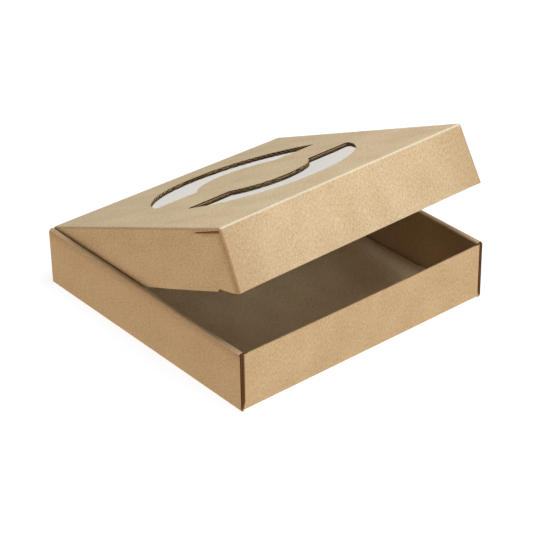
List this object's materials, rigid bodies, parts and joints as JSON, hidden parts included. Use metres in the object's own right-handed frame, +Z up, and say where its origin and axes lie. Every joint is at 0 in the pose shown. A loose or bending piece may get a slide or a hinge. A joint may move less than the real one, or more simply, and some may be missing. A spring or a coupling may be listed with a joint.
{
  "type": "window pie box",
  "caption": "Shallow square pie box of kraft board with rolled side walls and a hinged lid with film-backed ring-shaped window openings.",
  "frame": {"origin": "centre of the underside of the tray, at table level", "axes": "+X along the lid's hinge, to the right seen from the front; +Y from the front wall to the hinge; +Z up"},
  "size_m": [0.25, 0.246, 0.1456],
  "materials": {
    "kraft_board": "matte uncoated kraft liner",
    "clear_film": "clear glossy film"
  },
  "bodies": {
    "tray_body": {"tray": "kraft_board"},
    "lid_body": {"lid": "kraft_board", "window_film": "clear_film"}
  },
  "joints": [
    {"name": "lid_hinge", "type": "hinge", "parent": "tray_body", "child": "lid_body", "pos_m": [0, 0.123, 0.0513], "axis": [-1, 0, 0], "range_deg": [-23.4, 156.6]}
  ]
}
